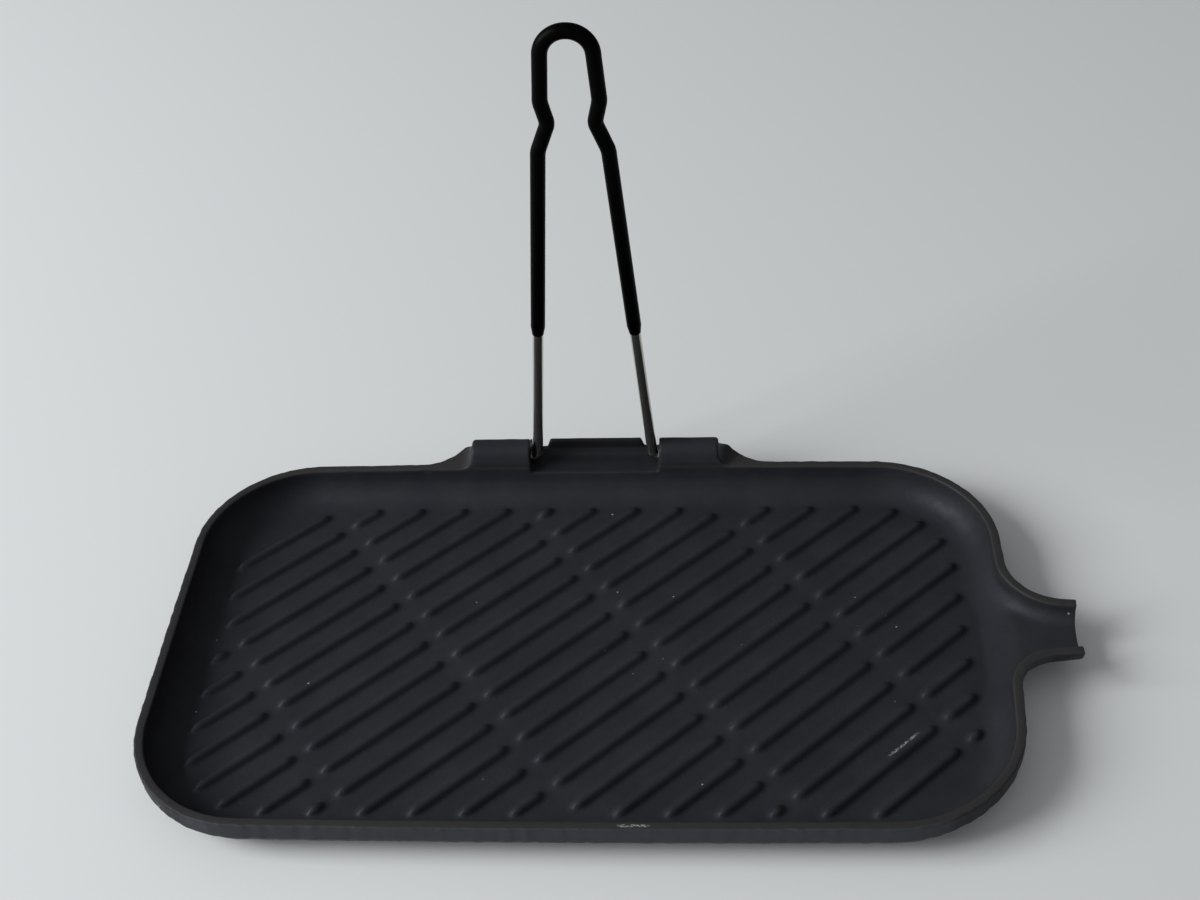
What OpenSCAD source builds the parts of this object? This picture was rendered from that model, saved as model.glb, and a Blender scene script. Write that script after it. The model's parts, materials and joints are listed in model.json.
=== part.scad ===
// Rectangular ribbed grill pan in cast iron, with a pouring spout on its right
// side and a folding wire handle hinged between two ears on its back side.
// Origin: centre of the resting face. +X towards the spout, +Y towards the
// hinge, +Z up. The handle is drawn standing upright.

/* [Pan] */
// Length of the rim, without the spout
pan_len = 360; // [330:1:400]
// Depth of the rim from front to back, without the hinge lug
pan_wid = 208; // [200:1:230]
// Height from the resting face to the top of the rim
pan_h = 20; // [19:0.5:22]
// Corner radius of the rim
corner_r = 50; // [40:1:55]
// Width of the flat top of the rim
rim_w = 4.3; // [4:0.1:5]
// Thickness of the cooking floor
floor_t = 5; // [4.5:0.1:6]
// Radius of the cove between floor and side wall
cove_r = 13; // [10:0.5:13]
// Radius of the outside between side wall and resting face
base_r = 18; // [14:0.5:18]

/* [Ribs] */
// Angle of the ribs from the long side
rib_angle = 43; // [35:0.1:50]
// Distance between neighbouring ribs, square to them
rib_pitch = 13.78; // [12.5:0.01:15]
// Width of a rib at the floor
rib_w = 4.8; // [4:0.1:5.5]
// Height of a rib above the floor
rib_h = 2.4; // [2:0.1:3]
// Shift of the rib pattern, square to the ribs
rib_shift = 5.3; // [0:0.1:7]
// Half length of the ribbed field along the long side
field_len = 162; // [150:1:164]
// Half depth of the ribbed field
field_wid = 87; // [80:1:88]
// Corner radius of the ribbed field
field_corner_r = 34; // [25:1:40]
// Clear length of each break in a rib
gap_len = 7.8; // [6:0.1:10]
// Distance between breaks along a rib
gap_pitch = 74.7; // [70:0.1:82]
// Place of the first row of breaks along the middle rib
gap_start = -52.9; // [-60:0.1:-45]
// Drift of a row of breaks from one rib to the next, per millimetre
gap_drift = 0.139; // [0.1:0.001:0.25]

/* [Spout] */
// How far the spout stands out from the rim
spout_reach = 26; // [20:1:30]
// Half width of the spout over its two lips
spout_half_w = 16; // [15:0.5:18]
// Radius of the flare between rim and spout
spout_flare_r = 13; // [10:0.5:14]
// Depth of the channel at the spout's tip
channel_depth = 7; // [5:0.5:8]
// Slope of the channel down towards the floor
channel_slope = 5; // [3:0.5:6]

/* [Hinge lug] */
// Distance from the rim's back edge to the back of the lug
lug_reach = 12.3; // [12:0.1:14]
// Half length of the lug without its flares
lug_half_len = 60.7; // [60:0.1:64]
// Radius of the flare between rim and lug
lug_flare_r = 22; // [14:0.5:26]
// Distance from the centre to the outer end of an ear
ear_outer = 58; // [56:0.5:60]
// Distance from the centre to the inner face of an ear
ear_inner = 30.1; // [30:0.1:32]
// Height of the top of an ear above the rim
ear_h = 9; // [8:0.1:10]
// Radius of an ear's front and back top edges
ear_edge_r = 4.5; // [3.5:0.1:5]
// Slope of an ear's front face
ear_slope = 70; // [65:1:80]
// Width of the flat on top of an ear
ear_flat = 2.7; // [2:0.1:3.5]
// Height of the wall behind the pocket above the rim
back_wall_h = 4.1; // [3.5:0.1:5]
// Half length of that wall between the two handle slots
back_wall_half = 21.8; // [20:0.1:22]
// Depth of the pocket below the rim
pocket_depth = 3; // [3:0.1:3.5]
// Distance from the rim's back edge to the hinge axis
hinge_reach = 4.2; // [4:0.1:4.4]
// Height of the hinge axis above the rim
hinge_rise = 0.3; // [0.2:0.1:0.5]
// Depth of the hole for each end of the wire
bore_len = 13.5; // [12.5:0.5:16]

/* [Handle] */
// Diameter of the wire
wire_d = 4.8; // [4.6:0.1:4.9]
// Radial running clearance of the wire in its holes
pin_gap = 0.05; // [0.03:0.01:0.1]
// Length of each straight wire end inside its ear
pin_len = 12; // [10:0.5:12]
// Height of the handle's centreline at the top of its loop
handle_h = 218.7; // [216:0.1:226]
// Diameter of the grip sleeve
grip_d = 6.4; // [6:0.1:7]
// Height above the hinge where the sleeve reaches its full diameter
grip_start = 76.5; // [70:0.5:90]
// Length of the taper at each end of the sleeve
grip_taper = 4; // [2:0.5:5]

/* [Hidden] */
$fn = 64;
overlap = 1;
cut_over = 60;

half_len = pan_len / 2;
half_wid = pan_wid / 2;
inner_r = corner_r - rim_w;
rib_ball_r = (rib_w * rib_w / 4 + rib_h * rib_h) / (2 * rib_h);
rib_top_z = floor_t + rib_h;
search_step = 0.5;

hinge_y = half_wid + hinge_reach;
hinge_z = pan_h + hinge_rise;
lug_back_y = half_wid + lug_reach;
lug_drop = 9;
pocket_front_y = half_wid - rim_w - overlap;
pocket_back_y = lug_back_y - 2.4;
pocket_fillet_r = 4;
// The foot of an ear's front face stands this far behind the inner wall
ear_step = 0.2;

// Bends are this much thicker than straight runs, and straight runs reach this
// far into them, so that the two surfaces cross instead of grazing.
bend_swell = 0.03;
bend_lap = 0.25;

// Corners of the right half of the wire's centreline, as half spacing,
// height above the hinge and bend radius, from the wire end to the loop.
bend_r = 2.9;
WIRE_BENDS = [
    [ear_inner - bend_r, 0, bend_r],
    [14.45, 165.6, 12],
    [9.62, 178.3, 6],
    [11.95, 188.2, 10],
    [9.9, handle_h, 10.5]
];

// ---- general shapes ----

// Solid of revolution at four corners joined by straight runs: child 0 is the
// half profile, drawn from 0 to the corner radius.
module round_cornered(hl, hw, r, z0, z1) {
    for (sx = [0, 1], sy = [0, 1])
        mirror([sx, 0, 0]) mirror([0, sy, 0])
            translate([hl - r, hw - r, 0])
                rotate_extrude(angle = 90) children(0);
    for (s = [0, 1]) {
        mirror([0, s, 0]) translate([r - hl, hw - r, 0])
            rotate([90, 0, 90]) linear_extrude(2 * (hl - r)) children(0);
        mirror([s, 0, 0]) translate([hl - r, hw - r, 0])
            rotate([90, 0, 0]) linear_extrude(2 * (hw - r)) children(0);
    }
    translate([r - hl, r - hw, z0])
        cube([2 * (hl - r), 2 * (hw - r), z1 - z0]);
}

// Half profile with one rounded lower corner, from z0 to z1. The rounding circle
// can be taller than the profile, so everything is cut off at z1.
module half_profile(r_out, round_r, z0, z1) {
    intersection() {
        union() {
            translate([0, z0]) square([r_out - round_r, z1 - z0]);
            translate([0, z0 + round_r]) square([r_out, z1 - z0 - round_r]);
            translate([r_out - round_r, z0 + round_r]) circle(round_r);
        }
        translate([0, z0]) square([r_out, z1 - z0]);
    }
}

// Extrudes a child drawn in the Y-Z plane along X, centred on x = 0
module along_x(half) {
    translate([-half, 0, 0]) rotate([90, 0, 90]) linear_extrude(2 * half) children();
}

// Strip of half width hw running out from x = 0, with a concave flare of
// radius r on both sides where it leaves the line x = 0
module flared_strip(hw, r, length) {
    difference() {
        translate([-r, -hw - r]) square([r + min(r, length), 2 * (hw + r)]);
        for (s = [-1, 1]) translate([r, s * (hw + r)]) circle(r);
    }
    translate([0, -hw]) square([length, 2 * hw]);
}

// ---- cast pan ----

module outer_tray() {
    round_cornered(half_len, half_wid, corner_r, 0, pan_h)
        half_profile(corner_r, base_r, 0, pan_h);
}

module well() {
    top = pan_h + overlap;
    round_cornered(half_len - rim_w, half_wid - rim_w, inner_r, floor_t, top)
        half_profile(inner_r, cove_r, floor_t, top);
}

// One rounded bar along X from x0 to x1, half sunk in the floor. Its ball ends
// are a trace larger than the bar, so that no two surfaces only graze.
module rib_bar(x0, x1) {
    translate([x0, 0, 0]) rotate([0, 90, 0]) cylinder(r = rib_ball_r, h = x1 - x0);
    for (x = [x0, x1]) translate([x, 0, 0]) sphere(rib_ball_r + bend_swell);
}

// Half length of the ribbed field at height y, with rounded corners
function field_half(y) =
    let (c = field_corner_r, over = abs(y) - (field_wid - c))
    field_len - (over > 0 ? c - sqrt(max(c * c - over * over, 0)) : 0);

// True where a point lies inside the ribbed field
function in_field(x, y) = abs(y) < field_wid && abs(x) < field_half(y);

// Ends of a rib's run through the field, found by stepping along its line
function rib_point(u, n) = [
    u * cos(rib_angle) + n * sin(rib_angle),
    u * sin(rib_angle) - n * cos(rib_angle)
];
function rib_inside(n, reach) =
    [for (u = [-reach : search_step : reach]) let (p = rib_point(u, n)) if (in_field(p[0], p[1])) u];

// Ribs of the field, each split where a row of breaks crosses it. A rib that
// would only cut a corner of the field is left out.
module ribs() {
    reach = half_len + half_wid;
    count = ceil(reach * 0.8 / rib_pitch);
    min_bar = rib_w;
    min_run = 30;
    end_inset = rib_w / 2;
    for (k = [-count : count]) {
        n = rib_shift + k * rib_pitch;
        inside = rib_inside(n, reach);
        if (len(inside) * search_step > min_run) {
            first = inside[0] + end_inset;
            last = inside[len(inside) - 1] - end_inset;
            for (j = [-3 : 3]) {
                gap = gap_start - gap_drift * n + gap_pitch * j;
                x0 = max(first, gap + gap_len / 2 + end_inset);
                x1 = min(last, gap + gap_pitch - gap_len / 2 - end_inset);
                if (x1 - x0 > min_bar)
                    translate([n * sin(rib_angle), -n * cos(rib_angle), rib_top_z - rib_ball_r])
                        rotate([0, 0, rib_angle]) rib_bar(x0, x1);
            }
        }
    }
}

// Spout body: a flared strip with a rounded underside
module spout_body() {
    round_r = spout_half_w - 4;
    intersection() {
        translate([half_len, 0, 0]) linear_extrude(pan_h)
            flared_strip(spout_half_w, spout_flare_r, spout_reach);
        translate([half_len, 0, 0]) rotate([0, -channel_slope, 0])
            spout_trough(spout_half_w + 2 * spout_flare_r, round_r, pan_h - channel_depth - 7);
    }
}

// Long trough shape along X: flat bottom at height z0 with rounded sides
module spout_trough(half, round_r, z0) {
    along_x(cut_over) {
        translate([-half + round_r, z0]) square([2 * (half - round_r), cut_over]);
        translate([-half, z0 + round_r]) square([2 * half, cut_over]);
        for (s = [-1, 1]) translate([s * (half - round_r), z0 + round_r]) circle(round_r);
    }
}

// Channel through the rim: same flare centres, one wall thickness further in
module spout_channel() {
    lip = rim_w;
    channel_half = spout_half_w - lip;
    round_r = 6;
    intersection() {
        translate([half_len - rim_w, 0, 0]) linear_extrude(cut_over)
            flared_strip(channel_half, spout_flare_r + lip, cut_over);
        translate([half_len + spout_reach, 0, 0]) rotate([0, -channel_slope, 0])
            spout_trough(channel_half + 2 * spout_flare_r, round_r, pan_h - channel_depth);
    }
}

// Lug slab behind the rim, flared into it
module lug_slab() {
    slab_h = lug_drop;
    translate([0, half_wid, pan_h - slab_h]) rotate([0, 0, 90]) linear_extrude(slab_h)
        flared_strip(lug_half_len, lug_flare_r, lug_reach);
}

// Side view of an ear above the rim: a steep front face that goes on upwards
// from the inner wall, a short flat top and two rounded top edges
module ear_profile() {
    r = ear_edge_r;
    foot_y = half_wid - rim_w + ear_step;
    front_y = foot_y + (r + (ear_h - r) * cos(ear_slope)) / sin(ear_slope);
    back_y = front_y + ear_flat;
    touch = [front_y - r * sin(ear_slope), ear_h - r + r * cos(ear_slope)];
    below = -overlap;
    polygon([[foot_y, below], [foot_y, 0], touch, [front_y, ear_h - r], [front_y, below]]);
    translate([front_y, below]) square([ear_flat, ear_h - below]);
    translate([front_y, below]) square([ear_flat + r, ear_h - r - below]);
    for (y = [front_y, back_y]) translate([y, ear_h - r]) circle(r);
}

// The two ears that hold the wire's ends
module ears() {
    run = ear_outer - ear_inner;
    for (s = [0, 1]) mirror([s, 0, 0])
        translate([ear_inner, 0, pan_h]) rotate([90, 0, 90]) linear_extrude(run) ear_profile();
}

module back_wall() {
    translate([-ear_inner - overlap, pocket_back_y - pocket_fillet_r, pan_h - overlap])
        cube([2 * (ear_inner + overlap), lug_back_y - pocket_back_y + pocket_fillet_r,
              back_wall_h + overlap]);
}

// Space in front of the back wall where the handle hinges
module pocket() {
    bottom = pan_h - pocket_depth;
    fillet_y = pocket_back_y - pocket_fillet_r;
    along_x(ear_inner) {
        translate([pocket_front_y, bottom]) square([fillet_y - pocket_front_y, cut_over]);
        translate([pocket_front_y, bottom + pocket_fillet_r])
            square([pocket_back_y - pocket_front_y, cut_over]);
        translate([fillet_y, bottom + pocket_fillet_r]) circle(pocket_fillet_r);
    }
}

// Slots where the wire legs lie when the handle is turned outwards
module leg_slots() {
    for (s = [0, 1]) mirror([s, 0, 0])
        translate([back_wall_half, hinge_y, pan_h])
            cube([ear_inner - back_wall_half, cut_over, cut_over]);
}

// Blind holes in the ears' inner faces for the wire's ends
module hinge_bores() {
    for (s = [0, 1]) mirror([s, 0, 0])
        translate([ear_inner - overlap, hinge_y, hinge_z]) rotate([0, 90, 0])
            cylinder(r = wire_d / 2 + pin_gap, h = bore_len + overlap);
}

module pan_casting() {
    color([0.16, 0.16, 0.17]) {
        difference() {
            union() {
                outer_tray();
                spout_body();
                lug_slab();
                ears();
                back_wall();
            }
            well();
            spout_channel();
            pocket();
            leg_slots();
            hinge_bores();
        }
        ribs();
    }
}

// ---- bent wire ----

// Direction and turn of a path through points a, b, c
function heading(a, b) = atan2(b[1] - a[1], b[0] - a[0]);
function turn(a, b, c) =
    let (t = heading(b, c) - heading(a, b)) t > 180 ? t - 360 : t < -180 ? t + 360 : t;
function tangent_len(a, b, c) = abs(b[2] * tan(turn(a, b, c) / 2));
function step_to(a, b, d) = [a[0] + d * cos(heading(a, b)), a[1] + d * sin(heading(a, b))];

// Round rod through the points of a path in the X-Z plane, each inner point
// rounded with its own bend radius
module bent_rod(path, d) {
    last = len(path) - 1;
    cuts = [for (i = [0 : last]) i == 0 || i == last ? 0
        : tangent_len(path[i - 1], path[i], path[i + 1])];
    for (i = [0 : last - 1]) {
        lap0 = i == 0 ? 0 : bend_lap;
        lap1 = i == last - 1 ? 0 : bend_lap;
        from = step_to(path[i], path[i + 1], cuts[i] - lap0);
        to = step_to(path[i + 1], path[i], cuts[i + 1] - lap1);
        translate([from[0], 0, from[1]]) rotate([0, 90 - heading(path[i], path[i + 1]), 0])
            cylinder(d = d, h = norm(to - from));
    }
    for (i = [1 : last - 1])
        rod_bend(path[i - 1], path[i], path[i + 1], cuts[i], d);
}

// The bend at point b, as part of a torus about its centre
module rod_bend(a, b, c, cut, d) {
    side = turn(a, b, c) > 0 ? 1 : -1;
    begin = step_to(b, a, cut);
    out = heading(a, b) + 90 * side;
    centre = [begin[0] + b[2] * cos(out), begin[1] + b[2] * sin(out)];
    start = side > 0 ? out + 180 : out + 180 + turn(a, b, c);
    translate([centre[0], 0, centre[1]]) rotate([90, 0, 0]) rotate([0, 0, start])
        rotate_extrude(angle = abs(turn(a, b, c))) translate([b[2], 0])
            circle(d = d + 2 * bend_swell);
}

// Full path from a right-hand start over the loop to the mirrored left end
function both_sides(right) = concat(
    right,
    [for (i = [len(right) - 1 : -1 : 0]) [-right[i][0], right[i][1], right[i][2]]]
);

grip_lip = 0.4;
wire_end = [ear_inner + pin_len, 0, 0];
leg_dir = heading(WIRE_BENDS[0], WIRE_BENDS[1]);
grip_low = step_to(WIRE_BENDS[0], WIRE_BENDS[1], grip_start / sin(leg_dir));

function tail(list, first) = [for (i = [first : len(list) - 1]) list[i]];

module at_hinge() {
    translate([0, hinge_y, hinge_z]) children();
}

module wire_rod() {
    bent_rod(both_sides(concat([wire_end], WIRE_BENDS)), wire_d);
}

module handle_wire() {
    color([0.62, 0.62, 0.6]) at_hinge() wire_rod();
}

module grip_end() {
    translate([grip_low[0], 0, grip_low[1]]) rotate([0, 270 - leg_dir, 0])
        translate([0, 0, -bend_lap])
            cylinder(d1 = grip_d - bend_swell, d2 = wire_d + grip_lip, h = grip_taper);
}

module handle_grip() {
    color([0.05, 0.05, 0.05]) at_hinge() difference() {
        union() {
            bent_rod(both_sides(concat([[grip_low[0], grip_low[1], 0]], tail(WIRE_BENDS, 1))), grip_d);
            grip_end();
            mirror([1, 0, 0]) grip_end();
        }
        wire_rod();
    }
}

pan_casting();
handle_wire();
handle_grip();
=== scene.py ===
import json
import math

import bpy
import numpy as np
import openvdb as vdb
from mathutils import Matrix, Vector


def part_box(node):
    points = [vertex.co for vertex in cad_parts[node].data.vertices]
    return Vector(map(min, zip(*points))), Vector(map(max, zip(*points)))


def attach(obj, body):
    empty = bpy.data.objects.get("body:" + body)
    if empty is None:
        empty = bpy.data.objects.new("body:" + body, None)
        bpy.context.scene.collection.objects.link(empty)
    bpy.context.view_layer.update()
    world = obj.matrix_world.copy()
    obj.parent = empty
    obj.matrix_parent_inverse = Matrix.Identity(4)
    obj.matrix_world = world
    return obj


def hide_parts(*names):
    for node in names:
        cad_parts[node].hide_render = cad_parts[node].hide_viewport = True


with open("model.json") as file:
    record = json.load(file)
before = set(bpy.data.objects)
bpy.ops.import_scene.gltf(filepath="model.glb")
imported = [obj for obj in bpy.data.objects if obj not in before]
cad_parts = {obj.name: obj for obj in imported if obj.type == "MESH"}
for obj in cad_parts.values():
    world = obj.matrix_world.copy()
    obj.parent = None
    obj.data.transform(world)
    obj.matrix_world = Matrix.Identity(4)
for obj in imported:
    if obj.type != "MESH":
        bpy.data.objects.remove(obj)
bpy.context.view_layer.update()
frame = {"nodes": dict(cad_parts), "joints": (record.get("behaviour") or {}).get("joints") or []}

MM = 0.001
SEED = 7

# Sizes of the casting in millimetres, from the frame's own boxes and hinge
pan_low, pan_high = (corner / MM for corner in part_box("pan_casting"))
HINGE = frame["joints"][0]
HALF_LEN = -pan_low.x
HALF_WID = -pan_low.y
SPOUT_TIP = pan_high.x
LUG_BACK = pan_high.y
EAR_TOP = pan_high.z
HINGE_Y = HINGE["pos_m"][1] / MM
HINGE_Z = HINGE["pos_m"][2] / MM
HINGE_RISE = 0.3
RIM_Z = HINGE_Z - HINGE_RISE

# The tray. A bow is how far a side falls back at its ends; the right side bows most towards the
# front, and the tuck is extra base radius round the corners.
CORNER_R = 50
RIM_W = 4.3
FLOOR_Z = 5
COVE_R = 13
BASE_R = 18
CORNER_TUCK = 3
RIM_EDGE_R = 0.8
LEFT_BOW = 0.68
RIGHT_BOW = 4.6
RIGHT_BULGE = 1.0
RIGHT_BULGE_Y = 40
FRONT_BOW = 1.77

# Ribs on the cooking floor. Breaks cross them in slanted rows, and a rib's end is longer than it is
# wide by the runout.
RIB_ANGLE = math.radians(43)
RIB_PITCH = 13.78
RIB_SHIFT = 5.3
RIB_R = 2.4
RIB_FILLET = 1.4
RIB_RUNOUT = 1.9
FIELD_LEN = 162
FIELD_WID = 87
FIELD_CORNER_R = 34
FIELD_REACH = 260
FIELD_STEP = 0.25
GAP_LEN = 6.2
GAP_PITCH = 74.7
GAP_START = -52.2
GAP_DRIFT = 0.139
SHORTEST_RIB = 30

# Pouring spout. Its tip is a little narrower, hollow in the middle and askew.
SPOUT_HALF = 16.8
SPOUT_SHIFT = -0.8
FRONT_FLARE_R = 15
BACK_FLARE_R = 22
SPOUT_TAPER = 0.057
SPOUT_HOLLOW = 0.9
SPOUT_SKEW = 0.04
SPOUT_STANDOUT = 0.3
SPOUT_EDGE_R = 0.6
SPOUT_ROUND_R = SPOUT_HALF - 4
CHANNEL_DEPTH = 7
CHANNEL_R = 6
CHANNEL_LIP_R = 9
CHANNEL_RUNOUT = 6
SPOUT_SLOPE = math.tan(math.radians(5))
SPOUT_WALL = 4.7
SPOUT_RUN = 45

# Hinge lug: two ears, the pocket between them, and the wall behind it with a leg slot at each end
LUG_HALF = 60.7
LUG_FLARE_R = 22
LUG_DROP = 9
LUG_EDGE_R = 1.5
LUG_ROUND_R = 4
JOINING_FILLET = 2
EAR_OUTER = 58
EAR_INNER = 30.1
EAR_BACK = HINGE_Y + 5.3
EAR_SLOPE = math.radians(70)
EAR_BEND = 1.5
EAR_EDGE_R = 4.5
EAR_SIDE_R = 1.5
EAR_FILLET = 6
BACK_WALL_TOP = 4.8
BACK_WALL_FRONT = LUG_BACK - 2.4
BACK_WALL_HALF = 23.2
BACK_WALL_LAP = 1
POCKET_DROP = 2.9
POCKET_FILLET = 4
POCKET_SIDE_R = 1.5
POCKET_EDGE_R = 0.6
SLOT_LEAN = 0.35
SLOT_FLOOR_R = 0.8
SLOT_EDGE_R = 0.7
# Wider than the real bore of 2.45 mm, as room for the meshes' own error
BORE_R = 2.6
BORE_LEN = 13.5
BORE_EDGE_R = 0.3

# Grid spacing of the casting's field, and how far its flat faces are merged
VOXEL = 0.55
MERGING = 0.02


# ---- distance fields: negative inside the iron, in millimetres ----

def length(a, b):
    return np.sqrt(a * a + b * b)


def both(a, b, r):
    """Where a and b are both solid, with the edge between them rounded to r."""
    return np.minimum(-r, np.maximum(a, b)) + length(np.maximum(r + a, 0), np.maximum(r + b, 0))


def either(a, b, r):
    """Where a or b is solid, with the corner between them filled to radius r."""
    return np.maximum(r, np.minimum(a, b)) - length(np.maximum(r - a, 0), np.maximum(r - b, 0))


def cut(a, b, r):
    """a with b taken out of it, with the new edge rounded to r."""
    return both(a, -b, r)


def rim_outline(x, y):
    """Distance from the rectangular rim's outer edge, seen from above, with its slightly bowed sides."""
    left = LEFT_BOW * (y / HALF_WID) ** 2
    right = RIGHT_BOW * ((y - RIGHT_BULGE_Y) / HALF_WID) ** 2 - RIGHT_BULGE
    ax = np.abs(x) + np.where(x < 0, left, right) - (HALF_LEN - CORNER_R)
    ay = np.abs(y) + FRONT_BOW * (x / HALF_LEN) ** 2 - (HALF_WID - CORNER_R)
    outside = length(np.maximum(ax, 0), np.maximum(ay, 0))
    return outside + np.minimum(np.maximum(ax, ay), 0) - CORNER_R


def base_radius(x, y):
    """Radius between the tray's wall and its resting face, larger where the wall goes round a corner."""
    ax = np.maximum(np.abs(x) - (HALF_LEN - CORNER_R), 0.01)
    ay = np.maximum(np.abs(y) - (HALF_WID - CORNER_R), 0.01)
    return BASE_R + CORNER_TUCK * 2 * ax * ay / (ax ** 2 + ay ** 2)


def spout_outline(x, y, inset):
    """The strip of the spout, seen from above."""
    half = SPOUT_HALF - SPOUT_TAPER * np.maximum(x - HALF_LEN, 0) - inset
    return np.maximum(np.abs(y - SPOUT_SHIFT) - half, HALF_LEN / 2 - x)


def channel_bottom(x):
    """Height of the channel's bottom, falling gently from the spout's tip into the pan."""
    return RIM_Z - CHANNEL_DEPTH - np.minimum(SPOUT_TIP - x, SPOUT_RUN) * SPOUT_SLOPE


def waves(x, y, size, seed):
    """Smooth uneven values between about -1 and 1, about size millimetres from crest to crest."""
    random = np.random.default_rng(seed)
    total = 0
    for _ in range(7):
        heading, phase = random.uniform(0, 2 * math.pi, 2)
        k = 2 * math.pi / size * random.uniform(0.6, 1.6)
        total = total + np.sin(k * (x * math.cos(heading) + y * math.sin(heading)) + phase)
    return total / 3


def spout_strip(x, y, rim, inset):
    """The rim, or the inner wall, with the spout flaring out of it, seen from above."""
    flare = np.where(y < SPOUT_SHIFT, FRONT_FLARE_R, BACK_FLARE_R) + inset
    return either(rim, spout_outline(x, y, inset), flare)


def lug_strip(x, y, rim):
    """The rim with the hinge lug flaring out of it, seen from above."""
    return either(rim, np.maximum(np.abs(x) - LUG_HALF, -y), LUG_FLARE_R)


def outer_body(x, y, z, rim):
    """The casting without its hollow: tray, spout and lug, and what rises above the rim is left on."""
    tray = both(rim, -z, base_radius(x, y))
    spout = spout_strip(x, y, rim, 0)
    across = y - SPOUT_SHIFT
    tip = SPOUT_TIP + SPOUT_STANDOUT + SPOUT_SKEW * across + SPOUT_HOLLOW * (across / SPOUT_HALF) ** 2
    spout_body = both(spout, channel_bottom(x) - SPOUT_WALL - z, SPOUT_ROUND_R)
    spout_body = both(spout_body, x - tip, SPOUT_EDGE_R)
    lug = lug_strip(x, y, rim)
    lug_body = both(both(lug, y - LUG_BACK, LUG_EDGE_R), RIM_Z - LUG_DROP - z, LUG_ROUND_R)
    joined = either(either(tray, spout_body, JOINING_FILLET), lug_body, JOINING_FILLET)
    return np.maximum(joined, np.minimum(spout, lug))


def leaning_wall(z, inner):
    """The inner wall, which bends back above the rim and becomes the ears' steep front face."""
    rise = z - RIM_Z
    return inner - (rise + np.sqrt(rise ** 2 + EAR_BEND ** 2)) / 2 / math.tan(EAR_SLOPE)


def top_face(x, y, z, inner):
    """The level top of the rim, with the ears and the wall behind the pocket rising from it."""
    middle = (EAR_OUTER + EAR_INNER) / 2
    flank = np.abs(np.abs(x) - middle) - (EAR_OUTER - middle)
    side_view = both(both(-leaning_wall(z, inner), z - EAR_TOP, EAR_EDGE_R), y - EAR_BACK, EAR_EDGE_R)
    ears = either(z - RIM_Z, both(flank, side_view, EAR_SIDE_R), EAR_FILLET)
    across = np.abs(x) - EAR_INNER - BACK_WALL_LAP
    wall = np.maximum(np.maximum(across, z - RIM_Z - BACK_WALL_TOP), HINGE_Y - y)
    return np.where(y > 0, np.minimum(ears, wall), z - RIM_Z)


def hollow(x, y, z, inner):
    """The well and the spout's channel, which runs out along the flares and is rounded into the well."""
    wall = leaning_wall(z, inner)
    strip = spout_strip(x, y, wall, RIM_W)
    well = both(wall, FLOOR_Z - z, COVE_R)
    flare = np.maximum(np.abs(y - SPOUT_SHIFT) - (SPOUT_HALF - RIM_W), 0) / BACK_FLARE_R
    channel = both(strip, channel_bottom(x) + CHANNEL_RUNOUT * flare ** 2 - z, CHANNEL_R)
    channel = np.maximum(channel, HALF_LEN - RIM_W - COVE_R - x)
    joined = np.maximum(either(well, channel, CHANNEL_LIP_R), FLOOR_Z - z)
    return np.maximum(joined, strip)


def pocket(x, y, z):
    """The space between the ears where the handle turns."""
    room = both(y - BACK_WALL_FRONT, RIM_Z - POCKET_DROP - z, POCKET_FILLET)
    return np.maximum(both(np.abs(x) - EAR_INNER, room, POCKET_SIDE_R), HALF_WID - 2 * RIM_W - y)


def leg_slots(x, y, z):
    """Where the wire legs lie when the handle is turned outwards."""
    inner_side = BACK_WALL_HALF - SLOT_LEAN * (z - RIM_Z)
    across = np.maximum(inner_side - np.abs(x), np.abs(x) - EAR_INNER)
    return np.maximum(both(across, RIM_Z - z, SLOT_FLOOR_R), HINGE_Y - y)


def hinge_bores(x, y, z):
    """The blind holes in the ears for the wire's ends."""
    round_hole = length(y - HINGE_Y, z - HINGE_Z) - BORE_R
    return np.maximum(round_hole, np.abs(np.abs(x) - EAR_INNER) - BORE_LEN)


def field_half(y):
    """Half length of the ribbed field at height y."""
    over = np.maximum(np.abs(y) - (FIELD_WID - FIELD_CORNER_R), 0)
    return FIELD_LEN - FIELD_CORNER_R + np.sqrt(np.maximum(FIELD_CORNER_R ** 2 - over ** 2, 0))


def rib_run(n):
    """First and last place of a rib's line inside the ribbed field; an empty run if there is no rib."""
    u = np.arange(-FIELD_REACH, FIELD_REACH, FIELD_STEP)
    x = u * math.cos(RIB_ANGLE) + n * math.sin(RIB_ANGLE)
    y = u * math.sin(RIB_ANGLE) - n * math.cos(RIB_ANGLE)
    inside = u[(np.abs(y) < FIELD_WID) & (np.abs(x) < field_half(y))]
    if len(inside) * FIELD_STEP < SHORTEST_RIB:
        return math.inf, -math.inf
    return inside[0] + RIB_R * RIB_RUNOUT, inside[-1] - RIB_R * RIB_RUNOUT


def rib_distance(x, y):
    """Distance, seen from above, from the centreline of the nearest rib."""
    u = x * math.cos(RIB_ANGLE) + y * math.sin(RIB_ANGLE)
    n = x * math.sin(RIB_ANGLE) - y * math.cos(RIB_ANGLE)
    row = np.rint((n - RIB_SHIFT) / RIB_PITCH)
    rows = int(row.max())
    runs = np.array([rib_run(RIB_SHIFT + k * RIB_PITCH) for k in range(-rows, rows + 1)])
    centre = RIB_SHIFT + row * RIB_PITCH
    first, last = (runs[(row + rows).astype(int), side] for side in (0, 1))
    gap = GAP_START - GAP_DRIFT * centre
    gap = gap + GAP_PITCH * np.floor((u - gap) / GAP_PITCH)
    inset = GAP_LEN / 2 + RIB_R * RIB_RUNOUT
    start = np.maximum(first, gap + inset)
    end = np.minimum(last, gap + GAP_PITCH - inset)
    along = np.maximum(np.maximum(start - u, u - end), 0) / RIB_RUNOUT
    far = 100
    return np.where(end > start - RIB_R, length(along, n - centre), far)


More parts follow.
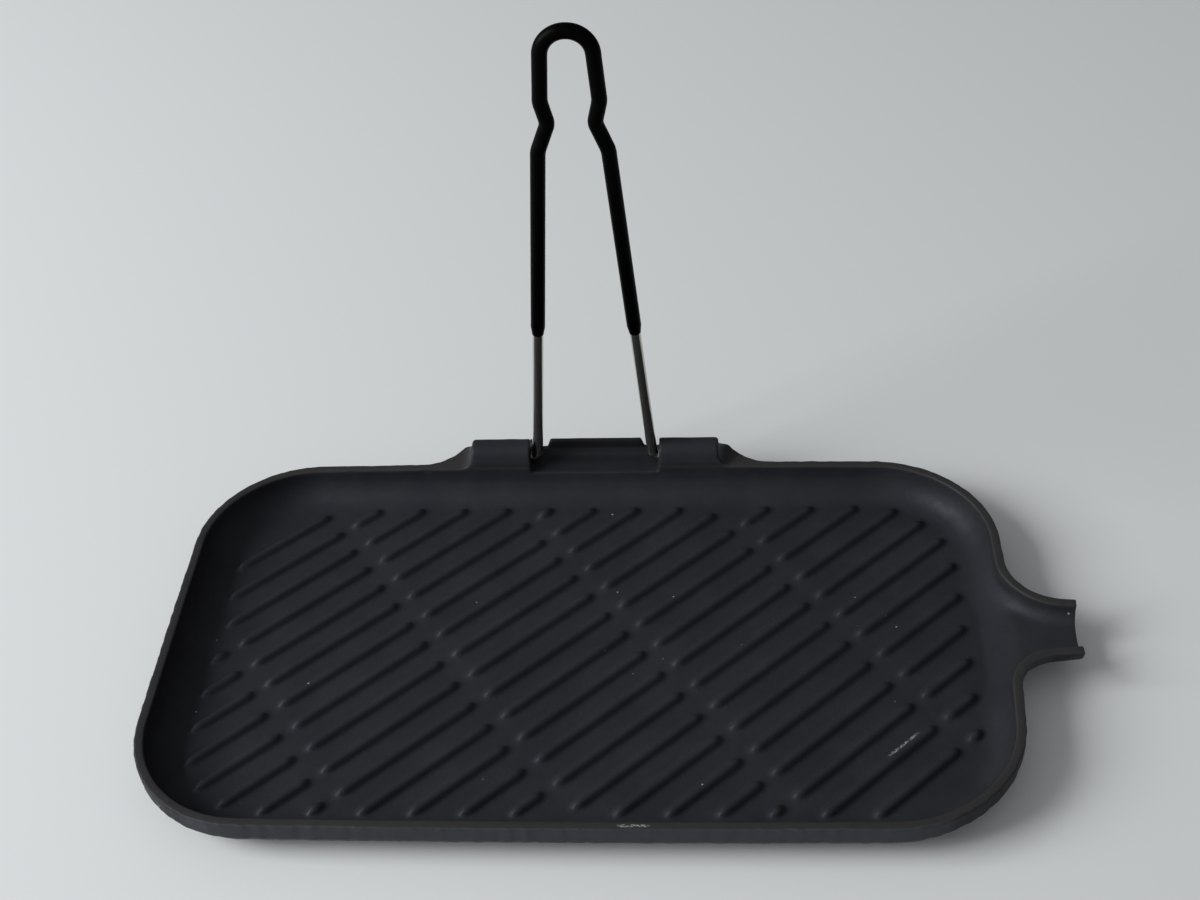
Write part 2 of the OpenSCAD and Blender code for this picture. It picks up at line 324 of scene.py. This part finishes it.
def casting_field(x, y, z):
    """Signed distance from the whole casting on a grid; low waves make its skin slightly uneven."""
    outline = rim_outline(x, y)
    rim = outline + 0.12 * waves(x, y, 9, SEED) + 0.05 * waves(x, y, 3.5, SEED + 1)
    inner = outline + RIM_W + 0.03 * waves(x, y, 11, SEED + 2)
    top = top_face(x, y, z - 0.05 * waves(x, y, 14, SEED + 3), inner)
    solid = both(outer_body(x, y, z, rim), top, RIM_EDGE_R)
    solid = cut(solid, hollow(x, y, z, inner), RIM_EDGE_R)
    back = slice(np.searchsorted(y.ravel(), HALF_WID - 3 * RIM_W), None)
    part = solid[:, back]
    yb = y[:, back]
    part = cut(part, pocket(x, yb, z), POCKET_EDGE_R)
    part = cut(part, leg_slots(x, yb, z), SLOT_EDGE_R)
    solid[:, back] = cut(part, hinge_bores(x, yb, z), BORE_EDGE_R)
    low = slice(0, np.searchsorted(z.ravel(), FLOOR_Z + 2 * RIB_R + RIB_FILLET))
    rib = length(rib_distance(x, y), z[:, :, low] - FLOOR_Z) - RIB_R
    solid[:, :, low] = either(solid[:, :, low], rib, RIB_FILLET)
    return solid


# ---- meshes ----

def grid_axis(low, high, place):
    """Grid points from low to high with a margin, shaped to lie along one axis of a 3-D array."""
    margin = 4 * VOXEL
    points = np.arange(low - margin, high + margin, VOXEL, dtype=np.float32)
    shape = [1, 1, 1]
    shape[place] = len(points)
    return points.reshape(shape)


def sample(field, places):
    """Values of a field between its grid points."""
    base = np.clip(np.floor(places).astype(int), 0, np.array(field.shape) - 2)
    part = places - base
    total = 0
    for corner in np.ndindex(2, 2, 2):
        weight = np.prod(np.where(corner, part, 1 - part), axis=1)
        total = total + weight * field[tuple((base + corner).T)]
    return total


def slope(field, places):
    """Direction in which a field rises fastest, as unit vectors, and how steeply it rises."""
    step = 0.5 * np.eye(3)
    rise = np.stack([sample(field, places + d) - sample(field, places - d) for d in step], axis=1)
    size = np.linalg.norm(rise, axis=1, keepdims=True)
    return rise / size, size


def mesh_from_field(name, field, origin, detail):
    """Mesh of the field's zero surface, with fewer faces where it is flat."""
    band = 3 * VOXEL
    grid = vdb.FloatGrid(band)
    grid.copyFromArray(np.clip(field, -band, band))
    points, triangles, quads = grid.convertToPolygons(isovalue=0.0, adaptivity=detail)
    # Twice pull the points towards the true surface, by at most 0.4 of a grid step each time
    for _ in range(2):
        direction, steepness = slope(field, points)
        step = sample(field, points)[:, None] / np.maximum(steepness, 0.7 * VOXEL)
        points = points - direction * np.clip(step, -0.4, 0.4)
    return mesh_object(name, (points * VOXEL + origin) * MM, [triangles, quads])


def smooth_normals(points, faces):
    """A normal for each point from the faces around it, with large flat faces counting most."""
    total = np.zeros_like(points)
    for group in faces:
        corners = points[group]
        if group.shape[1] == 4:
            area = np.cross(corners[:, 2] - corners[:, 0], corners[:, 3] - corners[:, 1])
        else:
            area = np.cross(corners[:, 1] - corners[:, 0], corners[:, 2] - corners[:, 0])
        for corner in group.T:
            np.add.at(total, corner, area)
    return total / np.linalg.norm(total, axis=1, keepdims=True)


def mesh_object(name, points, faces):
    """A new object in the scene from points in metres and groups of faces."""
    mesh = bpy.data.meshes.new(name)
    mesh.from_pydata(points, [], [face for group in faces for face in group.tolist()])
    mesh.update()
    mesh.normals_split_custom_set_from_vertices(smooth_normals(points, faces).tolist())
    made = bpy.data.objects.new(name, mesh)
    bpy.context.scene.collection.objects.link(made)
    return made


def build_casting():
    """The whole casting as one mesh, on a grid that fills its box in the frame."""
    x = grid_axis(pan_low.x, pan_high.x, 0)
    y = grid_axis(pan_low.y, pan_high.y, 1)
    z = grid_axis(pan_low.z, pan_high.z, 2)
    origin = np.array([x.min(), y.min(), z.min()])
    return mesh_from_field("grill_pan_casting", casting_field(x, y, z), origin, MERGING)


# ---- materials ----

class Shader:
    """Small helper to write a node material as expressions."""

    def __init__(self, name):
        self.material = bpy.data.materials.new(name)
        self.material.use_nodes = True
        self.tree = self.material.node_tree
        self.surface = self.tree.nodes["Principled BSDF"]

    def node(self, kind, inputs=None, **settings):
        made = self.tree.nodes.new("ShaderNode" + kind)
        for key, value in settings.items():
            setattr(made, key, value)
        for key, value in (inputs or {}).items():
            self.put(made.inputs[key], value)
        return made

    def put(self, socket, value):
        if isinstance(value, bpy.types.NodeSocket):
            self.tree.links.new(value, socket)
        else:
            socket.default_value = value

    def set(self, **values):
        for key, value in values.items():
            self.put(self.surface.inputs[key.replace("_", " ")], value)

    def maths(self, operation, a, b=0.0):
        return self.node("Math", {0: a, 1: b}, operation=operation).outputs[0]

    def ramp(self, value, low, high, to_low=0.0, to_high=1.0):
        """Smooth step of a value from one range to another."""
        made = self.node("MapRange", {0: value, 1: low, 2: high, 3: to_low, 4: to_high},
                         interpolation_type="SMOOTHSTEP")
        return made.outputs[0]

    def mix(self, share, a, b):
        made = self.node("Mix", {0: share, 6: a, 7: b}, data_type="RGBA")
        return made.outputs[2]

    def noise(self, scale, detail=3.0, rough=0.5, where=None):
        inputs = {"Scale": scale, "Detail": detail, "Roughness": rough}
        inputs["Vector"] = where or self.place()
        return self.node("TexNoise", inputs).outputs["Fac"]

    def place(self):
        return self.node("TexCoord").outputs["Object"]

    def specks(self, scale, size):
        """Small scattered dots, only in one cell of about fifty."""
        cells = self.node("TexVoronoi", {"Vector": self.place(), "Scale": scale})
        chosen = self.ramp(self.node("SeparateColor", {0: cells.outputs["Color"]}).outputs[0], 0.978, 0.985)
        return self.maths("MULTIPLY", chosen, self.ramp(cells.outputs["Distance"], size, size * 2, 1, 0))

    def toward(self, direction):
        """How far along a level direction each point lies."""
        inputs = {0: self.place(), 1: (math.cos(direction), math.sin(direction), 0)}
        return self.node("VectorMath", inputs, operation="DOT_PRODUCT").outputs["Value"]

    def scuff(self, direction, along, across, half_length, half_width, low):
        """A broken rub mark in a level direction, only above the height low; all in millimetres."""
        u = self.maths("ABSOLUTE", self.maths("SUBTRACT", self.toward(direction), along * MM))
        n = self.maths("ABSOLUTE", self.maths("SUBTRACT", self.toward(direction - math.pi / 2), across * MM))
        ends = self.ramp(u, 0.5 * half_length * MM, half_length * MM, 1, 0)
        sides = self.ramp(n, 0.3 * half_width * MM, half_width * MM, 1, 0)
        height = self.node("SeparateXYZ", {0: self.place()}).outputs[2]
        above = self.ramp(height, (low - 0.5) * MM, low * MM)
        broken = self.maths("MULTIPLY", above, self.ramp(self.noise(900, 3, 0.6), 0.42, 0.6))
        return self.maths("MULTIPLY", self.maths("MULTIPLY", ends, sides), broken)

    def bump(self, height, strength, distance, under=None):
        inputs = {"Height": height, "Strength": strength, "Distance": distance}
        if under is not None:
            inputs["Normal"] = under
        return self.node("Bump", inputs).outputs[0]


def grey(value, red=1.0, blue=1.0):
    """A grey of the given brightness, with its red and blue shares changed."""
    return (value * red, value, value * blue, 1)


def outer_wall(s, across, back):
    """Share that is 1 on the outside of the walls, where the normal points away from the middle."""
    level = s.node("VectorMath", {0: s.place(), 1: (1, 1, 0)}, operation="MULTIPLY").outputs[0]
    normal = s.node("NewGeometry").outputs["Normal"]
    outward = s.node("VectorMath", {0: normal, 1: level}, operation="DOT_PRODUCT").outputs["Value"]
    past_side = s.maths("SUBTRACT", s.maths("ABSOLUTE", across), HALF_LEN * MM)
    past_front = s.maths("SUBTRACT", s.maths("ABSOLUTE", back), HALF_WID * MM)
    near_edge = s.ramp(s.maths("MAXIMUM", past_side, past_front), -7 * MM, -4 * MM)
    return s.maths("MULTIPLY", near_edge, s.ramp(outward, 0.02, 0.06))


def iron_material():
    """Matte seasoned iron: fine sand grain, paler rim, specks and rubbed edges; the outside of the walls is
    painted paler as bounced light and the pocket is painted darker as shade.
    """
    s = Shader("seasoned_cast_iron")
    place = s.place()
    across, back, height = s.node("SeparateXYZ", {0: place}).outputs
    patches = s.noise(45, 4, 0.6)
    seasoned = s.mix(s.ramp(patches, 0.35, 0.7), grey(0.0160, 1.02, 1.20), grey(0.0200, 1.00, 1.14))
    above = s.ramp(height, (RIM_Z - 1) * MM, (RIM_Z - 0.3) * MM)
    rim = s.maths("MULTIPLY", above, s.ramp(height, (RIM_Z + 0.3) * MM, (RIM_Z + 1.2) * MM, 1, 0))
    bare = s.ramp(across, (10 - HALF_LEN) * MM, (40 - HALF_LEN) * MM, 0.25, 0.8)
    colour = s.mix(s.maths("MULTIPLY", rim, bare), seasoned, grey(0.026, 1.10, 0.92))
    # Painted bounced light: the outside of the walls is painted paler and bluer, standing in for light
    # thrown up from the pale floor.
    colour = s.mix(outer_wall(s, across, back), colour, grey(0.036, 0.97, 1.12))
    # Painted shade: the pocket between the ears is painted darker, standing in for the shade the ears cast
    # there.
    sides = s.ramp(s.maths("ABSOLUTE", across), EAR_INNER * MM, (EAR_INNER + 1.5) * MM, 1, 0)
    hinge = s.ramp(back, (HALF_WID - 5) * MM, (HALF_WID - 2) * MM)
    pocket_painted_shade = s.maths("MULTIPLY", s.maths("MULTIPLY", sides, hinge), 0.35)
    colour = s.mix(pocket_painted_shade, colour, grey(0.0035, 1.0, 1.1))
    edge = s.ramp(s.node("NewGeometry").outputs["Pointiness"], 0.54, 0.62)
    rubbed = s.maths("MULTIPLY", edge, s.ramp(s.noise(160, 3, 0.6), 0.45, 0.7))
    colour = s.mix(s.maths("MULTIPLY", rubbed, 0.35), colour, grey(0.04))
    colour = s.mix(s.specks(240, 0.07), colour, grey(0.22))
    rib_scuff = s.scuff(RIB_ANGLE, 60, 127, 10, 1.3, FLOOR_Z - 0.5)
    scuffs = s.maths("MAXIMUM", rib_scuff, s.scuff(0, 24, HALF_WID - 2, 7, 0.8, RIM_Z - 1))
    colour = s.mix(s.maths("MULTIPLY", scuffs, 0.8), colour, grey(0.35))
    s.set(Base_Color=colour)
    s.set(Roughness=s.ramp(s.noise(220, 3, 0.6), 0.3, 0.7, 0.46, 0.58))
    # The pocket's painted shade also lowers its gloss.
    s.set(Specular_IOR_Level=s.ramp(pocket_painted_shade, 0, 1, 0.12, 0.03), Specular_Tint=(0.93, 1.0, 1.1, 1))
    grain = s.bump(s.noise(2000, 2, 0.6), 0.8, 0.00009)
    s.set(Normal=s.bump(s.noise(420, 4, 0.6), 0.5, 0.00012, grain))
    return s.material


def wire_material():
    """Drawn steel wire with fine streaks along it."""
    s = Shader("drawn_steel_wire")
    stretched = s.node("Mapping", {0: s.place(), 3: (1.0, 1.0, 0.04)}).outputs[0]
    streaks = s.noise(1800, 3, 0.6, stretched)
    s.set(Base_Color=s.mix(streaks, grey(0.42, 1.05, 0.88), grey(0.60, 1.03, 0.90)))
    s.set(Metallic=1.0, Roughness=s.ramp(streaks, 0.3, 0.7, 0.11, 0.2))
    s.set(Normal=s.bump(streaks, 0.15, 0.00004))
    return s.material


def grip_material():
    """Soft black sleeve with a low sheen and a slightly uneven dipped surface."""
    s = Shader("black_dipped_sleeve")
    s.set(Base_Color=s.mix(s.noise(90, 3), grey(0.0002), grey(0.0005)))
    s.set(Roughness=s.ramp(s.noise(260, 3), 0.3, 0.7, 0.34, 0.46))
    s.set(Specular_IOR_Level=0.03)
    s.set(Normal=s.bump(s.noise(700, 3), 0.2, 0.00008))
    return s.material


def floor_material():
    """Pale matte floor, seen through from below so that the underside can be looked at."""
    s = Shader("pale_floor")
    s.set(Base_Color=grey(0.60, 1.0, 0.99), Roughness=0.8)
    below = s.node("NewGeometry").outputs["Backfacing"]
    s.set(Alpha=s.maths("SUBTRACT", 1.0, below))
    return s.material


def dress(piece, material):
    """Give a piece its only material."""
    piece.data.materials.clear()
    piece.data.materials.append(material)


# ---- floor, light and camera ----

def build_floor():
    """A plain level floor, a hair below the resting face."""
    size = 6
    mesh = bpy.data.meshes.new("floor")
    corners = [(-size, -size, 0), (size, -size, 0), (size, size, 0), (-size, size, 0)]
    mesh.from_pydata(corners, [], [(0, 1, 2, 3)])
    floor = bpy.data.objects.new("floor", mesh)
    floor.location.z = -0.0002
    bpy.context.scene.collection.objects.link(floor)
    mesh.materials.append(floor_material())


def aim(thing, target):
    thing.rotation_euler = (Vector(target) - thing.location).to_track_quat("-Z", "Y").to_euler()


def area_light(name, azimuth, elevation, distance, size, power, colour):
    """A soft square lamp that looks at the pan from a direction given in degrees."""
    a, e = math.radians(azimuth), math.radians(elevation)
    lamp = bpy.data.lights.new(name, "AREA")
    lamp.shape = "SQUARE"
    lamp.size = size
    lamp.energy = power
    lamp.color = colour
    made = bpy.data.objects.new(name, lamp)
    away = Vector((math.sin(a) * math.cos(e), -math.cos(a) * math.cos(e), math.sin(e)))
    made.location = away * distance
    bpy.context.scene.collection.objects.link(made)
    aim(made, (0, 0, 0))


def sky():
    """Even light from all around, brightest from the window's side."""
    world = bpy.data.worlds.new("studio")
    world.use_nodes = True
    tree = world.node_tree
    facing = tree.nodes.new("ShaderNodeVectorMath")
    facing.operation = "DOT_PRODUCT"
    facing.inputs[1].default_value = (-0.6, -0.7, 0.4)
    tree.links.new(tree.nodes.new("ShaderNodeTexCoord").outputs["Generated"], facing.inputs[0])
    fade = tree.nodes.new("ShaderNodeMapRange")
    for socket, value in zip(fade.inputs[1:5], (-0.8, 1.0, 0.10, 0.55)):
        socket.default_value = value
    tree.links.new(facing.outputs["Value"], fade.inputs[0])
    background = tree.nodes["Background"]
    tree.links.new(fade.outputs[0], background.inputs[1])
    background.inputs[0].default_value = (0.93, 0.96, 1.0, 1)
    return world


def build_lights():
    area_light("window", azimuth=-77, elevation=32, distance=2.6, size=1.4, power=90,
               colour=(0.95, 0.98, 1.0))
    bpy.context.scene.world = sky()
    bpy.context.scene.view_settings.view_transform = "Standard"


def build_camera():
    """The camera above the front edge: its place in metres, and pan, tilt and roll in degrees."""
    pan, tilt, roll = (math.radians(angle) for angle in (-5.198, 41.170, -4.021))
    camera = bpy.data.objects.new("camera", bpy.data.cameras.new("camera"))
    camera.location = (0.0555, -0.4757, 0.5365)
    turned = Matrix.Rotation(-pan, 3, "Z") @ Matrix.Rotation(math.pi / 2 - tilt, 3, "X")
    camera.rotation_euler = (turned @ Matrix.Rotation(roll, 3, "Z")).to_euler()
    camera.data.lens = 49.61
    camera.data.sensor_width = 36
    camera.data.clip_start = 0.01
    bpy.context.scene.collection.objects.link(camera)
    bpy.context.scene.camera = camera


casting = build_casting()
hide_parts("pan_casting")
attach(casting, "pan")
dress(casting, iron_material())
dress(frame["nodes"]["handle_wire"], wire_material())
dress(frame["nodes"]["handle_grip"], grip_material())
build_floor()
build_lights()
build_camera()
